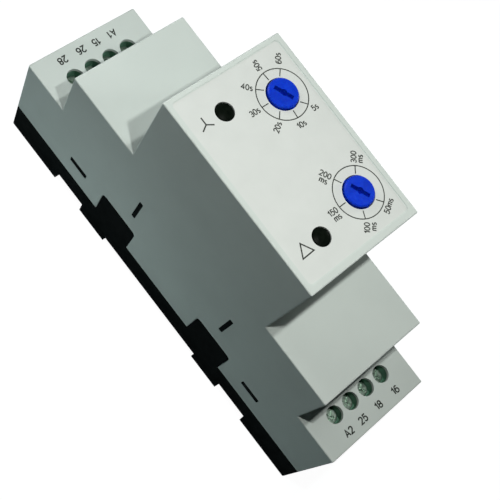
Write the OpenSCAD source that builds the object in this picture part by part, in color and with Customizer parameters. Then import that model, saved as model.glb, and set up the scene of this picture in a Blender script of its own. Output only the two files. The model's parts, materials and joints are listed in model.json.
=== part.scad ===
// Two-dial star-delta delay timer for a 35 mm mounting rail.
// X runs along the rail, Y runs up the housing towards the supply end, Z points out of the rail.
// The origin is the middle of the back, on the plane of the feet.

/* [Housing] */
// Width of the housing, along the rail
body_w = 30; // [27:0.5:36]
// Length of the housing, across the rail
body_l = 110; // [99:0.5:120]
// Height of the front face above the feet
body_h = 70; // [66:0.5:78]
// Length of the raised nose that carries the dials
nose_l = 45; // [44:0.5:50]
// Length of each terminal step
terminal_l = 12.5; // [12:0.1:13.5]
// Height of the middle step above the feet
shoulder_h = 45.5; // [42:0.5:50]
// Height of the terminal step above the feet
terminal_h = 30.3; // [30:0.1:33]
// Height of the joint between the base and the cover
base_h = 10; // [9.5:0.1:11]
// Wall of the cover
wall = 2; // [1.8:0.1:2.2]
// Radius on the long edges of the steps
edge_r = 0.3; // [0.2:0.1:1]
// Radius on the upright corners of the cover
corner_r = 0.4; // [0.2:0.1:1.2]

/* [Rail seat] */
// Width of the mounting rail over its flanges
rail_w = 35; // [35:0.1:35.4]
// Thickness of the rail flange
flange_t = 1; // [0.8:0.1:1.2]
// Depth of the rail seat above the feet
seat_depth = 2.5; // [2.3:0.1:3]
// Gap between the rail edge and each foot
rail_gap = 0.5; // [0.3:0.1:0.8]
// How far the hook and the clip reach behind the flange
hook_reach = 1.5; // [1.2:0.1:1.8]
// Width of the fixed hook
hook_w = 16; // [10:1:20]
// Length of each foot beside the rail
foot_l = 9.5; // [8:0.5:10.5]
// Length of the open notch between a foot and its end block
notch_l = 9.7; // [9:0.1:11]
// Height of the notch above the feet
notch_h = 3.7; // [3:0.1:4]
// Floor of the base above the feet
floor_h = 6.2; // [6:0.1:7]

/* [Rail clip] */
// Width of the sliding clip between its ears
clip_w = 12; // [10:0.5:13]
// Reach of each guide ear
ear_w = 1.2; // [1:0.1:1.5]
// Height of the clip's lower face above the feet
clip_z = 0.3; // [0.2:0.05:0.4]
// Thickness of the clip
clip_t = 3.5; // [3.3:0.1:3.7]
// Thickness of the guide ears
ear_t = 1.6; // [1.2:0.1:1.8]
// Length of the spring at rest
spring_l = 10; // [9:0.5:11]
// Outer diameter of the spring
spring_d = 3; // [2.6:0.1:3.1]
// Wire of the spring
spring_wire = 0.45; // [0.35:0.05:0.55]

/* [Snap tabs and slots] */
// Distance of each snap tab from the middle
tab_y = 17.9; // [17:0.1:19]
// Width of a snap tab
tab_w = 11.8; // [10:0.1:12.5]
// Height of the snap tab's top above the feet
tab_top = 19.1; // [18:0.1:21]
// Thickness of a snap tab
tab_t = 1.1; // [0.9:0.1:1.2]
// Width of the latch barb on a tab
barb_w = 4; // [3:0.5:6]
// Height of the latch barb on a tab
barb_h = 1.4; // [1:0.1:1.8]
// Distance of the lengthwise slots from the middle
long_slot_y = 32.6; // [32:0.1:34]
// Height of the lengthwise slots above the feet
long_slot_z = 16.9; // [16:0.1:18]
// Length of a lengthwise slot
long_slot_l = 5.6; // [4:0.1:7]
// Width of a lengthwise slot
long_slot_w = 1.3; // [1:0.1:1.6]
// Depth of the side catch's nose behind the wall
catch_in = 0.3; // [0.2:0.1:0.8]
// Clearance of the side catch in its slot
catch_gap = 0.1; // [0.05:0.05:0.2]
// Place of the upright slot nearer the supply end
up_slot_a = 14.7; // [13:0.1:16]
// Place of the upright slot nearer the other end
up_slot_b = -17.4; // [-19:0.1:-16]
// Middle height of the upright slots
up_slot_z = 29.3; // [28:0.1:31]
// Length of an upright slot
up_slot_l = 8.3; // [6:0.1:10]
// Width of an upright slot
up_slot_w = 0.9; // [0.8:0.1:1.2]

/* [Front] */
// Distance of the dials from the right side
dial_side = 8; // [7.5:0.1:9]
// Distance between the two dials
dial_pitch = 24; // [22:0.1:26]
// Place of the middle between the dials, along the housing
dial_mid = -0.35; // [-0.6:0.05:0.6]
// Diameter of the knob face
knob_d = 6.5; // [6:0.1:7]
// Radial gap round the knob in the front
knob_gap = 0.3; // [0.2:0.05:0.35]
// How far the knob stands out of the front
knob_proud = 0.6; // [0.2:0.1:1]
// Width of the driver slot in the knob
knob_slot_w = 0.9; // [0.7:0.1:1.2]
// Depth of the driver slot in the knob
knob_slot_t = 1.5; // [0.8:0.1:1.7]
// Diameter of the round pit in the middle of the slot
knob_pit_d = 1.5; // [1.2:0.1:2]
// Depth of the round pit
knob_pit_t = 2; // [1:0.1:2.4]
// Direction of the knob slot, from +X
knob_slot_angle = -63; // [-90:1:90]
// Distance of the lamps from the left side
lamp_side = 9.4; // [8:0.1:10]
// Distance of each lamp from the middle, along the housing
lamp_y = 14.85; // [13:0.05:16]
// Diameter of a lamp lens
lamp_d = 3.9; // [3:0.1:4.4]
// Border beside the label
label_side = 1.25; // [1.15:0.05:2.5]
// Border above and below the label
label_end = 1.4; // [1.2:0.1:2.5]
// Clearance round the label in its recess
label_gap = 0.12; // [0.1:0.02:0.2]
// Thickness of the label
label_t = 0.3; // [0.2:0.05:0.4]
// Depth of the label recess
recess_t = 0.45; // [0.4:0.05:0.6]
// Sideways place of the label's middle
label_x = -0.1; // [-0.4:0.1:0.4]
// Lengthways place of the label's middle
label_y = 0.25; // [-0.4:0.05:0.4]

/* [Terminals] */
// Distance between neighbouring terminals
pitch = 5.08; // [5:0.02:5.1]
// Distance of the terminal screws from the end wall
screw_in = 7.6; // [7:0.1:8]
// Diameter of the driver wells in the cover
well_d = 4.1; // [4:0.05:4.4]
// Thickness of the cover round the driver wells
well_rim = 1; // [0.8:0.1:1.4]
// Diameter of the screw heads
head_d = 3.8; // [3.6:0.05:3.9]
// Height of the screw heads
head_t = 1.6; // [1.4:0.1:1.8]
// Depth of the screw head below the terminal step
head_depth = 2.9; // [2.6:0.1:3.4]
// Diameter of the screw shank
shank_d = 2.5; // [2:0.1:2.6]
// Diameter of the wire entries
wire_d = 3.2; // [2.8:0.1:3.4]
// Largest rise of a clamp
clamp_travel = 2.5; // [2:0.1:2.6]
// Width of a clamp
clamp_w = 4.2; // [4:0.05:4.25]
// Length of a clamp along the wire
clamp_l = 5; // [4.6:0.1:5.2]
// Side wall of a clamp
clamp_wall = 0.6; // [0.5:0.05:0.7]
// Threaded top wall of a clamp
clamp_top = 1.2; // [1.1:0.1:1.3]
// Lower bar of a clamp
clamp_bar = 0.8; // [0.7:0.1:0.9]
// Thickness of the contact strip
strip_t = 0.9; // [0.8:0.05:1]
// Width of the contact strip
strip_w = 2.4; // [2:0.1:2.6]

/* [Boards] */
// Thickness of the circuit boards
board_t = 1.6; // [1.4:0.1:1.8]
// Depth of the front board's underside below the front
front_board_in = 11.6; // [11.4:0.1:14]
// Place of the riser board along the housing
riser_y = 1.6; // [1:0.1:2]
// Length of a relay
relay_l = 28; // [24:0.5:28.5]
// Gap beside each relay
relay_gap = 0.6; // [0.4:0.1:1.5]
// Height of a relay
relay_h = 15.5; // [12:0.5:17]
// Diameter of the smoothing capacitor
can_d = 10; // [8:0.5:10.5]
// Height of the smoothing capacitor
can_h = 16; // [12:0.5:20]
// Length of the film capacitor
film_l = 18; // [14:0.5:20]
// Width of the film capacitor
film_w = 8.5; // [6:0.5:9]
// Height of the film capacitor
film_h = 15; // [10:0.5:18]
// Side of a dial potentiometer
pot_w = 9.6; // [9:0.1:10]
// Height of a dial potentiometer
pot_h = 4.8; // [4:0.1:5.2]
// Length of the timing chip
chip_l = 16; // [12:0.5:17]
// Width of the timing chip
chip_w = 6.4; // [5:0.1:7]
// Height of the timing chip
chip_t = 3.2; // [2:0.1:3.6]
// Clearance between the large parts on the main board
part_gap = 2; // [1:0.1:2.5]

/* [Fits] */
// Running gap beside the clip, the tabs and the boards
gap = 0.2; // [0.15:0.05:0.25]
// Radial gap of a turning shaft in its hole
fit = 0.05; // [0.03:0.01:0.08]
// Side gap of a clamp in its chamber
chamber_gap = 0.1; // [0.08:0.01:0.12]

/* [Hidden] */

// Cutting tools run this far past the face they open
eps = 0.5;
// Half lengths and heights of the three steps
half_l = body_l / 2;
steps = [[half_l, terminal_h], [half_l - terminal_l, shoulder_h], [nose_l / 2, body_h]];

// Heights inside the housing
tongue_t = 1.4;
tongue_gap = 0.1;
tongue_rise = 2;
rib_t = 1.6;
barb_z = base_h + tongue_rise + 2;
catch_w = 3.6;
catch_step = 0.8;
catch_root = 0.3;
base_wall = wall + tongue_gap + tongue_t;
board_z = base_h + tongue_rise;
board_top = board_z + board_t;
roof_z = terminal_h - wall;
front_board_z = body_h - front_board_in;
front_top = front_board_z + board_t;
room_x = body_w / 2 - wall;
riser_side = 1.5;
guide_t = 1;
relay_w = (2 * room_x - 3 * relay_gap) / 2;
part_side = 1.2;

// Rail seat and base underside
foot_in = rail_w / 2 + rail_gap;
foot_out = foot_in + foot_l;
block_in = foot_out + notch_l;
block_slant = 0.4;
lip_gap = 0.2;
lip_t = seat_depth - flange_t - lip_gap;
hook_tip = rail_w / 2 - hook_reach;
lead_in = 0.6;

// Clip, its channel and its spring
clip_front = foot_in + gap;
clip_end = half_l - 0.4;
clip_top = clip_z + clip_t;
ear_z = clip_top - ear_t;
channel_top = clip_top + gap;
stop_t = 1.3;
spring_rim = 0.4;
window_w = spring_d + 2 * spring_rim;
stop_in = 6.4;
window_end = block_in + stop_in;
stop_y = window_end - 0.1;
spring_foot_y = stop_y - stop_t;
window_front = spring_foot_y - spring_l - 0.1;
eye_w = 5.2;
eye_l = 2.2;
eye_end = clip_end - 2;
spring_turns = 7;

// Terminals
screw_y = half_l - screw_in;
head_room = 0.3;
terminal_x = [for (i = [0:3]) (i - 1.5) * pitch];
block_gap = 0.2;
block_top = terminal_h - well_rim - block_gap;
head_top = terminal_h - head_depth;
head_z = head_top - head_t;
shelf_top = head_z - 0.1;
clamp_z = board_top + 2.3;
wire_z = clamp_z + clamp_bar + wire_d / 2;
strip_z = wire_z + wire_d / 2 + 0.1;
clamp_head_z = strip_z + strip_t + 0.1;
clamp_h = clamp_head_z + clamp_top - clamp_z;
shelf_z = clamp_z + clamp_h + clamp_travel + 0.1;
block_front = half_l - wall - 0.3;
chamber_front = screw_y + clamp_l / 2 + 0.3;
chamber_back = screw_y - clamp_l / 2 - 0.3;
strip_back = chamber_back - 0.1;
block_back = strip_back - strip_t - 0.6;
block_w = len(terminal_x) * pitch + 0.6;
pin_w = 0.8;
pin_drop = 1.2;

// Dials, lamps and label
dial_x = body_w / 2 - dial_side;
dial_y = [dial_mid + dial_pitch / 2, dial_mid - dial_pitch / 2];
lamp_x = lamp_side - body_w / 2;
label_w = body_w - 2 * label_side;
label_l = nose_l - 2 * label_end;
knob_hole_d = knob_d + 2 * knob_gap;
knob_flange_d = knob_hole_d + 1.6;
knob_flange_t = 1.2;
knob_edge = 0.25;
shaft_d = 3;
lamp_hole_d = lamp_d + 0.2;
spacer_h = 2.4;
lamp_proud = 0.1;

$fn = 48;

// Outline with each corner turned into an arc; radii[i] of 0 keeps corner i sharp
function unit(v) = v / norm(v);
function arc_corner(a, p, b, r, n = 4) =
    let (ua = unit(a - p), ub = unit(b - p), c = p + r * (ua + ub))
    r <= 0 ? [p] : [for (k = [0:n]) c - r * (cos(90 * k / n) * ub + sin(90 * k / n) * ua)];
function rounded(pts, radii) =
    let (n = len(pts))
    [for (i = [0:n - 1]) each arc_corner(pts[(i + n - 1) % n], pts[i], pts[(i + 1) % n], radii[i])];

// Rectangle with rounded corners, centred on the origin
module round_rect(w, l, r) {
    polygon(rounded([[-w / 2, -l / 2], [w / 2, -l / 2], [w / 2, l / 2], [-w / 2, l / 2]], [r, r, r, r]));
}

// Extrudes a (Y, Z) outline along X, centred
module along_x(length) {
    rotate([90, 0, 90])
        linear_extrude(height = length, center = true)
            children();
}

// Extrudes a (X, Z) outline along Y from y0 to y1
module along_y(y0, y1) {
    translate([0, y1, 0])
        rotate([90, 0, 0])
            linear_extrude(height = y1 - y0)
                children();
}

// Box between two corners
module box(a, b) {
    translate(a)
        cube(b - a);
}

// Copies of a child at both ends of the housing, the second turned half round
module both_ends() {
    children();
    rotate([0, 0, 180])
        children();
}

// The four snap tab places
module at_tabs() {
    for (side = [0, 180])
        rotate([0, 0, side])
            for (y = [-tab_y, tab_y])
                translate([body_w / 2, y, 0])
                    children();
}

// Outline of one step seen from an end or a side, rounded at its two upper corners
module step_outline(w, z0, z1) {
    polygon(rounded([[-w / 2, z0], [w / 2, z0], [w / 2, z1], [-w / 2, z1]], [0, 0, edge_r, edge_r]));
}

// Three stacked steps with all their edges rounded
module stepped_block() {
    for (s = steps)
        intersection() {
            translate([0, 0, base_h])
                linear_extrude(height = s[1] - base_h)
                    round_rect(body_w, 2 * s[0], corner_r);
            along_x(body_w + eps) step_outline(2 * s[0], base_h - eps, s[1]);
            along_y(-s[0] - eps, s[0] + eps) step_outline(body_w, base_h - eps, s[1]);
        }
}

// The room inside the steps, open at the bottom
module stepped_room() {
    for (s = steps)
        box([-body_w / 2 + wall, -s[0] + wall, base_h - eps], [body_w / 2 - wall, s[0] - wall, s[1] - wall]);
}

// Outline of a snap tab or of its recess, rounded at the top
module tab_outline(grow) {
    w = tab_w / 2 + grow;
    top = tab_top + grow;
    polygon(rounded([[-w, base_h - eps], [w, base_h - eps], [w, top], [-w, top]], [0, 0, 1.2, 1.2]));
}

module front_cover() {
    color([0.78, 0.82, 0.79])
        difference() {
            stepped_block();
            stepped_room();
            label_recess();
            for (y = dial_y)
                translate([dial_x, y, body_h - wall - eps])
                    cylinder(d = knob_hole_d, h = wall + 2 * eps);
            for (y = [-lamp_y, lamp_y])
                translate([lamp_x, y, body_h - wall - eps])
                    cylinder(d = lamp_hole_d, h = wall + 2 * eps);
            both_ends() terminal_openings();
            at_tabs() tab_recess();
            both_ends() side_slots();
        }
    color([0.78, 0.82, 0.79])
        board_ribs();
}

// Ribs inside the cover: pairs that guide the riser board and a stop over each end of the front board
module board_ribs() {
    guide_z = board_top + relay_h + part_gap;
    stop_w = 8;
    stop_l = 1.4;
    room_y = nose_l / 2 - wall;
    for (side = [0, 1])
        mirror([side, 0, 0])
            for (y = [riser_y - board_t / 2 - gap - guide_t, riser_y + board_t / 2 + gap])
                box([room_x - riser_side - guide_t, y, guide_z],
                    [room_x + eps, y + guide_t, front_board_z - gap]);
    both_ends()
        box([-stop_w / 2, room_y - stop_l, front_top + gap],
            [stop_w / 2, room_y + eps, body_h - wall + eps]);
}

module label_recess() {
    translate([label_x, label_y, body_h - recess_t])
        linear_extrude(height = recess_t + eps)
            round_rect(label_w + 2 * label_gap, label_l + 2 * label_gap, 1);
}

// Driver wells over the screws, the seat of the terminal block under them, and wire entries in the end wall
module terminal_openings() {
    box([-block_w / 2 - block_gap, block_back - block_gap, roof_z - eps],
        [block_w / 2 + block_gap, half_l - wall, terminal_h - well_rim]);
    for (x = terminal_x) {
        translate([x, screw_y, roof_z - eps])
            cylinder(d = well_d, h = wall + 2 * eps);
        translate([x, half_l + eps, wire_z])
            rotate([90, 0, 0])
                cylinder(d = wire_d, h = wall + 2 * eps);
    }
}

// Shallow seat for a snap tab, with the window that its barb springs into
module tab_recess() {
    translate([-(tab_t + 0.1) / 2 + eps / 2, 0, 0])
        along_x(tab_t + 0.1 + eps) tab_outline(0.15);
    box([-wall - eps, -barb_w / 2 - gap, barb_z - gap], [0, barb_w / 2 + gap, barb_z + barb_h + gap]);
}

// Slots in one long side: two lengthwise and two upright
module side_slots() {
    translate([-body_w / 2 + wall / 2, 0, 0]) {
        for (y = [-long_slot_y, long_slot_y])
            translate([0, y, long_slot_z])
                cube([wall + 2 * eps, long_slot_l, long_slot_w], center = true);
        for (y = [up_slot_a, up_slot_b])
            translate([0, y, up_slot_z])
                cube([wall + 2 * eps, up_slot_w, up_slot_l], center = true);
    }
}

module base() {
    color([0.05, 0.05, 0.06]) {
        difference() {
            intersection() {
                along_x(body_w) base_outline();
                linear_extrude(height = base_h)
                    round_rect(body_w, body_l, corner_r);
            }
            box([-body_w / 2 + base_wall, -half_l + base_wall, floor_h],
                [body_w / 2 - base_wall, half_l - base_wall, base_h + eps]);
            clip_channel();
            floor_pockets();
        }
        tongue();
        both_ends() side_catches();
        at_tabs() snap_tab();
        fixed_hook();
        spring_stop();
    }
}

// Side outline of the base: end blocks, notches, feet and the rail seat
module base_outline() {
    right = [[foot_in, seat_depth], [foot_in, 0], [foot_out, 0], [foot_out, notch_h],
             [block_in, notch_h], [block_in + block_slant, 0], [half_l, 0], [half_l, base_h]];
    n = len(right) - 1;
    polygon(concat(right, [for (i = [n:-1:0]) [-right[i][0], right[i][1]]]));
}

// Pockets that thin the feet and end blocks from inside, with a rib left between each pair
module floor_pockets() {
    out_x = body_w / 2 - base_wall;
    clip_side = clip_w / 2 + gap + ear_w + rib_t;
    for (span = [[foot_in + rib_t, foot_out - rib_t], [block_in + rib_t, half_l - base_wall]])
        for (side = [0, 1])
            mirror([side, 0, 0]) {
                box([rib_t / 2, span[0], wall], [out_x, span[1], floor_h + eps]);
                box([clip_side, -span[1], wall], [out_x, -span[0], floor_h + eps]);
            }
}

// Upright rim inside the cover that centres it and carries the main board
module tongue() {
    out_w = body_w - 2 * (wall + tongue_gap);
    out_l = body_l - 2 * (wall + tongue_gap);
    difference() {
        translate([0, 0, base_h - eps])
            linear_extrude(height = tongue_rise + eps)
                square([out_w, out_l], center = true);
        translate([0, 0, base_h - 2 * eps])
            linear_extrude(height = tongue_rise + 3 * eps)
                square([out_w - 2 * tongue_t, out_l - 2 * tongue_t], center = true);
    }
}

module snap_tab() {
    translate([-tab_t / 2, 0, 0])
        along_x(tab_t) tab_outline(0);
    barb_reach = wall - tab_t - 0.1;
    translate([-tab_t, 0, 0])
        rotate([90, 0, 0])
            linear_extrude(height = barb_w, center = true)
                polygon([[eps / 2, barb_z], [-barb_reach, barb_z], [eps / 2, barb_z + barb_h]]);
}

// Catches on the tongue of one long side, each with its nose in a lengthwise slot of the cover
module side_catches() {
    face = -body_w / 2 + wall + tongue_gap;
    arm_top = long_slot_z + long_slot_w / 2 + catch_step;
    nose_w = long_slot_l - 2 * catch_gap;
    nose_h = long_slot_w - 2 * catch_gap;
    for (y = [-long_slot_y, long_slot_y])
        translate([0, y, 0]) {
            box([face, -catch_w / 2, base_h], [face + tongue_t, catch_w / 2, arm_top]);
            box([-body_w / 2 + catch_in, -nose_w / 2, long_slot_z - nose_h / 2],
                [face + catch_root, nose_w / 2, long_slot_z + nose_h / 2]);
        }
}

// Lip behind the rail flange, from -width/2 to width/2, with a sloping lead-in
module rail_lip(width, root, z0) {
    along_x(width)
        polygon([[root, z0], [hook_tip + lead_in, z0], [hook_tip, z0 + lead_in],
                 [hook_tip, lip_t], [root, lip_t]]);
}

module fixed_hook() {
    rail_lip(hook_w, foot_in + eps, 0);
}

// Tee-shaped channel for the clip, open at the lower end and under the foot and end block
module clip_channel() {
    half = clip_w / 2 + gap;
    box([-half, -half_l - eps, -eps], [half, -foot_in, channel_top]);
    box([-half - ear_w, -half_l - eps, ear_z - gap], [half + ear_w, -foot_in - rib_t, channel_top]);
}

// Boss that stops the clip and carries the fixed end of its spring
module spring_stop() {
    half = window_w / 2 - gap;
    box([-half, -stop_y, clip_z + gap], [half, -spring_foot_y, channel_top + eps]);
}

module rail_clip() {
    color([0.07, 0.07, 0.08]) {
        difference() {
            union() {
                box([-clip_w / 2, -clip_end, clip_z], [clip_w / 2, -clip_front, clip_top]);
                box([-clip_w / 2 - ear_w, -clip_end, ear_z],
                    [clip_w / 2 + ear_w, -foot_in - rib_t - gap, clip_top]);
            }
            box([-window_w / 2, -window_end, clip_z - eps], [window_w / 2, -window_front, clip_top + eps]);
            box([-eye_w / 2, -eye_end, clip_z - eps], [eye_w / 2, -eye_end + eye_l, clip_top + eps]);
        }
        rotate([0, 0, 180])
            rail_lip(clip_w, clip_front + eps, clip_z);
    }
}

// Coil spring along Y between its stop and the clip
module clip_spring() {
    sides = 6;
    per_turn = 14;
    rings = spring_turns * per_turn;
    r_wire = spring_wire / 2;
    r_coil = spring_d / 2 - r_wire;
    run = spring_l - spring_wire;
    y0 = -spring_foot_y + r_wire;
    zc = clip_z + clip_t / 2;
    ring = [for (i = [0:rings])
        let (t = i / rings, a = 360 * spring_turns * t)
        for (k = [0:sides - 1])
            let (b = 360 * k / sides, r = r_coil + r_wire * cos(b))
            [r * cos(a), y0 + run * t + r_wire * sin(b), zc + r * sin(a)]];
    walls = [for (i = [0:rings - 1]) for (k = [0:sides - 1])
        let (p = i * sides, q = p + sides, m = (k + 1) % sides)
        [p + k, q + k, q + m, p + m]];
    first = [for (k = [0:sides - 1]) k];
    last = [for (k = [sides - 1:-1:0]) rings * sides + k];
    color([0.75, 0.76, 0.78])
        polyhedron(points = ring, faces = concat([first], walls, [last]), convexity = 10);
}

module front_label() {
    color([0.86, 0.88, 0.86])
        difference() {
            translate([label_x, label_y, body_h - recess_t])
                linear_extrude(height = label_t)
                    round_rect(label_w, label_l, 0.9);
            for (y = dial_y)
                translate([dial_x, y, body_h - recess_t - eps])
                    cylinder(d = knob_hole_d, h = label_t + 2 * eps);
            for (y = [-lamp_y, lamp_y])
                translate([lamp_x, y, body_h - recess_t - eps])
                    cylinder(d = lamp_hole_d, h = label_t + 2 * eps);
        }
}

// Dial knob: face, retaining flange and the shaft that turns in the potentiometer
module knob(y) {
    top = body_h + knob_proud;
    flange_z = body_h - wall - gap - knob_flange_t;
    shaft_z = front_top + 0.6;
    color([0.05, 0.22, 0.85])
        translate([dial_x, y, 0])
            difference() {
                rotate_extrude()
                    polygon([[0, shaft_z], [shaft_d / 2, shaft_z], [shaft_d / 2, flange_z],
                             [knob_flange_d / 2, flange_z], [knob_flange_d / 2, flange_z + knob_flange_t],
                             [knob_d / 2, flange_z + knob_flange_t], [knob_d / 2, top - knob_edge],
                             [knob_d / 2 - knob_edge, top], [0, top]]);
                rotate([0, 0, knob_slot_angle])
                    translate([0, 0, top - knob_slot_t / 2 + eps / 2])
                        cube([knob_d * 0.66, knob_slot_w, knob_slot_t + eps], center = true);
                translate([0, 0, top - knob_pit_t])
                    cylinder(d = knob_pit_d, h = knob_pit_t + eps);
            }
}

// Potentiometer body on the front board, with the bore for the knob shaft
module pot(y) {
    color([0.16, 0.24, 0.5])
        translate([dial_x, y, front_top])
            difference() {
                linear_extrude(height = pot_h)
                    round_rect(pot_w, pot_w, 0.8);
                translate([0, 0, 0.5])
                    cylinder(d = shaft_d + 2 * fit, h = pot_h + eps);
            }
}

// Smoked lamp lens with a domed top and a seating flange
module lamp(y) {
    z0 = front_top + spacer_h;
    top = body_h + lamp_proud;
    dome = 0.5;
    r = lamp_d / 2;
    color([0.05, 0.06, 0.05])
        translate([lamp_x, y, 0])
            rotate_extrude()
                polygon(concat([[0, z0], [r + 0.4, z0], [r + 0.4, z0 + 0.9], [r, z0 + 0.9], [r, top - dome]],
                               [for (a = [15:15:90]) [r * cos(a), top - dome + dome * sin(a)]]));
}

module lamp_spacers() {
    color([0.1, 0.1, 0.1])
        for (y = [-lamp_y, lamp_y])
            translate([lamp_x, y, front_top])
                difference() {
                    cylinder(d = lamp_d + 1, h = spacer_h);
                    translate([0, 0, -eps])
                        cylinder(d = lamp_d - 1, h = spacer_h + 2 * eps);
                }
}

// Board on the tongue of the base, drilled for the terminal pins and notched round the side catches
module main_board() {
    color([0.1, 0.35, 0.2])
        difference() {
            translate([0, 0, board_z])
                linear_extrude(height = board_t)
                    square([2 * (room_x - gap), body_l - 2 * wall - 2 * gap], center = true);
            both_ends() {
                for (x = terminal_x)
                    translate([x, strip_back - strip_t / 2, board_z - eps])
                        cylinder(d = pin_w * 1.6, h = board_t + 2 * eps);
                for (y = [-long_slot_y, long_slot_y])
                    box([-body_w / 2, y - catch_w / 2 - gap, board_z - eps],
                        [-body_w / 2 + base_wall + gap, y + catch_w / 2 + gap, board_top + eps]);
            }
        }
}

module riser_board() {
    color([0.1, 0.35, 0.2])
        translate([0, riser_y, board_top])
            linear_extrude(height = front_board_z - board_top)
                square([2 * (room_x - riser_side), board_t], center = true);
}

module front_board() {
    color([0.1, 0.35, 0.2])
        translate([0, 0, front_board_z])
            linear_extrude(height = board_t)
                square([2 * (room_x - gap), nose_l - 2 * wall - 2 * gap], center = true);
}

// Timing chip under the front board, standing on its two rows of legs
module timing_chip() {
    stand = 0.5;
    leg_t = 0.25;
    leg_w = 1.2;
    rows = 7;
    leg_pitch = chip_l / (rows + 0.3);
    chip_x = room_x - 2 * part_gap - chip_w / 2;
    chip_y = riser_y - board_t / 2 - part_gap - chip_l / 2;
    color([0.12, 0.12, 0.13])
        translate([-chip_x, chip_y, front_board_z - stand - chip_t]) {
            linear_extrude(height = chip_t)
                square([chip_w, chip_l], center = true);
            for (side = [-1, 1])
                for (i = [0:rows - 1])
                    translate([side * chip_w / 2, (i - (rows - 1) / 2) * leg_pitch, chip_t / 2])
                        linear_extrude(height = chip_t / 2 + stand)
                            square([2 * leg_t, leg_w], center = true);
        }
}

// Relay case with a sealed lid step
module relay(side) {
    lid = 0.4;
    foot = 3;
    relay_y = riser_y - board_t / 2 - part_gap - relay_l / 2;
    color([0.1, 0.1, 0.12])
        translate([side * (relay_w + relay_gap) / 2, relay_y, board_top]) {
            linear_extrude(height = foot)
                round_rect(relay_w, relay_l, 0.4);
            linear_extrude(height = relay_h)
                round_rect(relay_w - lid, relay_l - lid, 0.8);
        }
}

// Smoothing capacitor: can with a rolled groove near its foot and a sleeve edge round its top
module smoothing_capacitor() {
    r = can_d / 2;
    color([0.12, 0.14, 0.3])
        translate([part_side + r - room_x, riser_y + board_t / 2 + part_gap + r, board_top])
            rotate_extrude()
                polygon([[0, 0], [r - 0.4, 0], [r, 0.4], [r, 1.6], [r - 0.4, 2], [r - 0.4, 2.4], [r, 2.8],
                         [r, can_h - 0.6], [r - 0.5, can_h], [r - 1.2, can_h], [r - 1.4, can_h - 0.3],
                         [0, can_h - 0.3]]);
}

module film_capacitor() {
    color([0.75, 0.6, 0.15])
        translate([room_x - part_side - film_w / 2, riser_y + board_t / 2 + part_gap + film_l / 2, board_top])
            linear_extrude(height = film_h)
                round_rect(film_w, film_l, 0.8);
}

// Four-way terminal block for the upper end
module terminal_block() {
    color([0.1, 0.45, 0.22])
        difference() {
            along_x(block_w)
                polygon([[block_back, board_top], [block_front, board_top], [block_front, shelf_z],
                         [block_front - 1.2, block_top], [block_back + 0.6, block_top],
                         [block_back, block_top - 0.6]]);
            for (x = terminal_x)
                translate([x, 0, 0])
                    terminal_chamber();
        }
}

// Everything cut for one terminal: chamber, shank bore, head pocket, wire bore and strip slot
module terminal_chamber() {
    half = clamp_w / 2 + chamber_gap;
    box([-half, chamber_back, board_top - eps], [half, chamber_front, shelf_z]);
    box([-strip_w / 2 - 0.1, strip_back - strip_t - 0.1, board_top - eps],
        [strip_w / 2 + 0.1, chamber_back + eps, strip_z + strip_t + 0.1]);
    translate([0, screw_y, shelf_z - eps])
        cylinder(d = shank_d + 2 * fit, h = shelf_top - shelf_z + 2 * eps);
    pocket = head_d + 2 * head_room;
    translate([-pocket / 2, screw_y - pocket / 2, shelf_top])
        cube([pocket, pocket, block_top - shelf_top + eps]);
    translate([0, block_front + eps, wire_z])
        rotate([90, 0, 0])
            cylinder(d = wire_d, h = block_front - chamber_front + 2 * eps);
}

// Bent contact strips of the upper end: a bar through each clamp and a leg through the board
module contact_strips() {
    y1 = strip_back;
    color([0.8, 0.78, 0.72])
        for (x = terminal_x)
            translate([x, 0, 0]) {
                along_x(strip_w)
                    polygon([[y1 - strip_t, board_top], [y1, board_top], [y1, strip_z],
                             [screw_y + clamp_l / 2, strip_z], [screw_y + clamp_l / 2, strip_z + strip_t],
                             [y1 - strip_t, strip_z + strip_t]]);
                translate([0, y1 - strip_t / 2, board_z - pin_drop])
                    cylinder(d = pin_w, h = board_top - board_z + pin_drop + eps);
            }
}

// Terminal screw, upper end: cross-slotted head and a shank through the clamp
module terminal_screw(i) {
    shank_z = strip_z + strip_t + 0.2;
    slot_w = 0.6;
    slot_t = 0.8;
    color([0.72, 0.74, 0.72])
        translate([terminal_x[i], screw_y, 0])
            difference() {
                rotate_extrude()
                    polygon([[0, shank_z], [shank_d / 2 - 0.2, shank_z], [shank_d / 2, shank_z + 0.2],
                             [shank_d / 2, head_z], [head_d / 2, head_z], [head_d / 2, head_top - 0.3],
                             [head_d / 2 - 0.3, head_top], [0, head_top]]);
                rotate([0, 0, 35]) {
                    translate([0, 0, head_top])
                        cube([head_d + 1, slot_w, 2 * slot_t], center = true);
                    translate([0, 0, head_top])
                        cube([slot_w, head_d * 0.6, 2 * slot_t], center = true);
                }
            }
}

// Clamp cage, upper end: its threaded top rides on the screw and its bar lifts the wire
module terminal_clamp(i) {
    color([0.78, 0.78, 0.76])
        translate([terminal_x[i], screw_y, clamp_z])
            difference() {
                translate([-clamp_w / 2, -clamp_l / 2, 0])
                    cube([clamp_w, clamp_l, clamp_h]);
                translate([-clamp_w / 2 + clamp_wall, -clamp_l / 2 - eps, clamp_bar])
                    cube([clamp_w - 2 * clamp_wall, clamp_l + 2 * eps, clamp_h - clamp_bar - clamp_top]);
                translate([0, 0, clamp_h - clamp_top - eps])
                    cylinder(d = shank_d + 2 * fit, h = clamp_top + 2 * eps);
            }
}

// Turns an upper-end piece half round to the lower end
module lower_end() {
    rotate([0, 0, 180])
        children();
}

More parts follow.
